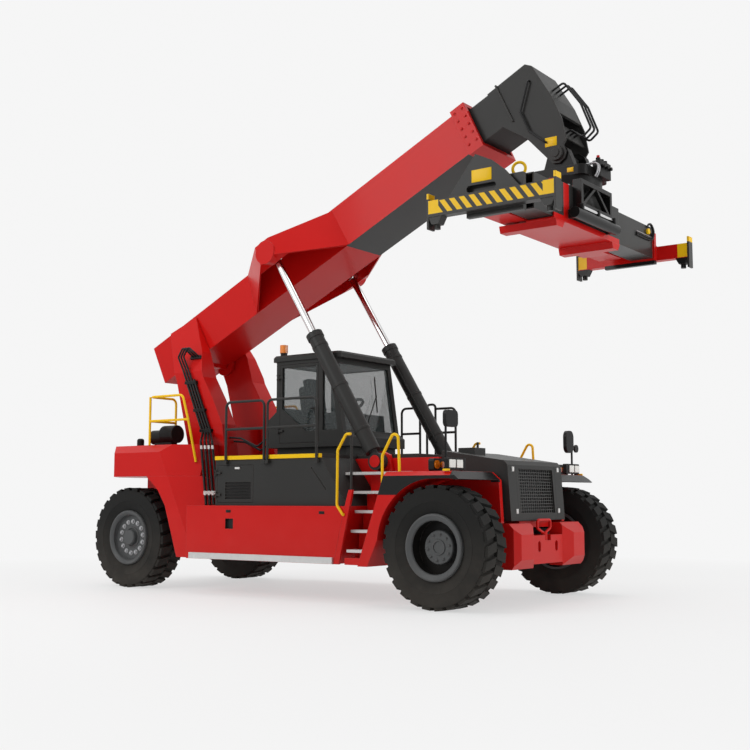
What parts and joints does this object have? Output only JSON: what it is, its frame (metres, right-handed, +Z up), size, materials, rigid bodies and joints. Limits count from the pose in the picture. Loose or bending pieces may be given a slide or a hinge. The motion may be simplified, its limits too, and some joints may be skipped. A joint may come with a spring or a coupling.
{
  "type": "reach stacker",
  "caption": "Wheeled reach stacker: telescopic boom over a cab, two lift cylinders, slewing container spreader with sliding arms, steered rear wheels.",
  "frame": {"origin": "on the ground, on the centre plane, at the middle of the overall length as parked", "axes": "+X forward towards the spreader, +Y to the machine's left, +Z up"},
  "size_m": [9.2035, 4.56, 7.7554],
  "materials": {
    "red_paint": "gloss",
    "grey_paint": "satin",
    "black_paint": "satin",
    "yellow_paint": "satin",
    "rod_chrome": "polished",
    "window": "tinted",
    "lens_clear": "clear",
    "beacon_amber": "gloss",
    "tyre_rubber": "matt",
    "rim_grey": "satin",
    "seat_fabric": "matt",
    "tread_zinc": "satin",
    "hose_rubber": "matt",
    "cast_dark": "rough"
  },
  "bodies": {
    "chassis": {"chassis_frame": "red_paint", "counterweight": "red_paint", "rear_legs": "red_paint", "boom_tower": "red_paint", "side_tanks": "red_paint", "tool_box": "grey_paint", "left_box": "grey_paint", "deck": "grey_paint", "steps": "red_paint", "fender_right": "red_paint", "fender_left": "red_paint", "bumper": "red_paint", "tow_pin": "red_paint", "engine": "cast_dark", "front_axle": "cast_dark", "rear_axle": "cast_dark", "lamp_pods": "black_paint", "lamp_lenses": "lens_clear", "mirrors": "black_paint", "cab_shell": "grey_paint", "cab_roof": "grey_paint", "cab_glass": "window", "cab_seat": "seat_fabric", "cab_console": "black_paint", "beacon": "beacon_amber", "tower_pipes": "red_paint", "air_cleaner": "black_paint", "yellow_rails": "yellow_paint", "grey_rails": "grey_paint", "lift_mounts": "red_paint", "treads": "tread_zinc", "hoses": "hose_rubber"},
    "hood": {"hood": "black_paint", "grille": "black_paint"},
    "box_door": {"box_door": "grey_paint"},
    "cab_door": {"cab_door": "grey_paint", "cab_door_glass": "window"},
    "boom": {"boom_outer": "red_paint"},
    "inner_boom": {"boom_inner": "grey_paint", "head_hoses": "hose_rubber"},
    "head": {"head_yoke": "black_paint"},
    "spreader": {"spreader_beam": "red_paint"},
    "arm_right": {"arm_right": "grey_paint"},
    "arm_left": {"arm_left": "grey_paint"},
    "lift_barrel_right": {"lift_barrel_right": "grey_paint"},
    "lift_rod_right": {"lift_rod_right": "rod_chrome"},
    "knuckle_right": {"knuckle_right": "cast_dark"},
    "wheel_front_right": {"tyre_front_right": "tyre_rubber", "rim_front_right": "rim_grey"},
    "wheel_rear_right": {"tyre_rear_right": "tyre_rubber", "rim_rear_right": "rim_grey"},
    "lift_barrel_left": {"lift_barrel_left": "grey_paint"},
    "lift_rod_left": {"lift_rod_left": "rod_chrome"},
    "knuckle_left": {"knuckle_left": "cast_dark"},
    "wheel_front_left": {"tyre_front_left": "tyre_rubber", "rim_front_left": "rim_grey"},
    "wheel_rear_left": {"tyre_rear_left": "tyre_rubber", "rim_rear_left": "rim_grey"}
  },
  "joints": [
    {"name": "boom_lift", "type": "hinge", "parent": "chassis", "child": "boom", "pos_m": [-3.5, 0, 3.88], "axis": [0, -1, 0], "range_deg": [-13, 29]},
    {"name": "boom_extend", "type": "slide", "parent": "boom", "child": "inner_boom", "axis": [0.9026, 0, 0.4305], "range_m": [0, 4]},
    {"name": "head_level", "type": "hinge", "parent": "inner_boom", "child": "head", "pos_m": [3.62849, 0, 6.33505], "axis": [0, -1, 0], "range_deg": [-29, 13]},
    {"name": "spreader_slew", "type": "hinge", "parent": "head", "child": "spreader", "pos_m": [3.62849, 0, 5.86005], "axis": [0, 0, 1], "range_deg": [-105, 195]},
    {"name": "spread_right", "type": "slide", "parent": "spreader", "child": "arm_right", "axis": [0, -1, 0], "range_m": [0, 2.3]},
    {"name": "spread_left", "type": "slide", "parent": "spreader", "child": "arm_left", "axis": [0, 1, 0], "range_m": [0, 2.3]},
    {"name": "lift_tilt_right", "type": "hinge", "parent": "chassis", "child": "lift_barrel_right", "pos_m": [0.95, -1, 2.01], "axis": [0, -1, 0], "range_deg": [-1.09, 2.44]},
    {"name": "lift_stroke_right", "type": "slide", "parent": "lift_barrel_right", "child": "lift_rod_right", "axis": [-0.5233, 0, 0.8522], "range_m": [-0.6243, 1.392]},
    {"name": "lift_tilt_left", "type": "hinge", "parent": "chassis", "child": "lift_barrel_left", "pos_m": [0.95, 1, 2.01], "axis": [0, -1, 0], "range_deg": [-1.09, 2.44]},
    {"name": "lift_stroke_left", "type": "slide", "parent": "lift_barrel_left", "child": "lift_rod_left", "axis": [-0.5233, 0, 0.8522], "range_m": [-0.6243, 1.392]},
    {"name": "steer_right", "type": "hinge", "parent": "chassis", "child": "knuckle_right", "pos_m": [-3.8, -0.95, 0.825], "axis": [0, 0, 1], "range_deg": [-40, 40]},
    {"name": "steer_left", "type": "hinge", "parent": "chassis", "child": "knuckle_left", "pos_m": [-3.8, 0.95, 0.825], "axis": [0, 0, 1], "range_deg": [-40, 40]},
    {"name": "spin_front_right", "type": "hinge", "parent": "chassis", "child": "wheel_front_right", "pos_m": [2.55, -1.72, 0.825], "axis": [0, 1, 0], "continuous": true},
    {"name": "spin_rear_right", "type": "hinge", "parent": "knuckle_right", "child": "wheel_rear_right", "pos_m": [-3.8, -1.3, 0.825], "axis": [0, 1, 0], "continuous": true},
    {"name": "spin_front_left", "type": "hinge", "parent": "chassis", "child": "wheel_front_left", "pos_m": [2.55, 1.72, 0.825], "axis": [0, 1, 0], "continuous": true},
    {"name": "spin_rear_left", "type": "hinge", "parent": "knuckle_left", "child": "wheel_rear_left", "pos_m": [-3.8, 1.3, 0.825], "axis": [0, 1, 0], "continuous": true},
    {"name": "cab_door_swing", "type": "hinge", "parent": "chassis", "child": "cab_door", "pos_m": [-1.19, -0.77, 3], "axis": [0, 0, -1], "range_deg": [0, 70]},
    {"name": "box_door_swing", "type": "hinge", "parent": "chassis", "child": "box_door", "pos_m": [-1.645, -1.7, 1.7], "axis": [0, 0, -1], "range_deg": [0, 105]},
    {"name": "hood_lift", "type": "hinge", "parent": "chassis", "child": "hood", "pos_m": [1.905, 0, 2.087], "axis": [0, -1, 0], "range_deg": [0, 50]}
  ],
  "couplings": [
    {"joint": "head_level", "follows": "boom_lift", "ratio": -1},
    {"joint": "spread_left", "follows": "spread_right", "ratio": 1},
    {"joint": "lift_tilt_right", "follows": "boom_lift", "ratio": 0.084},
    {"joint": "lift_stroke_right", "follows": "boom_lift", "m_per_rad": 2.7492},
    {"joint": "lift_tilt_left", "follows": "boom_lift", "ratio": 0.084},
    {"joint": "lift_stroke_left", "follows": "boom_lift", "m_per_rad": 2.7492},
    {"joint": "steer_left", "follows": "steer_right", "ratio": 1}
  ]
}
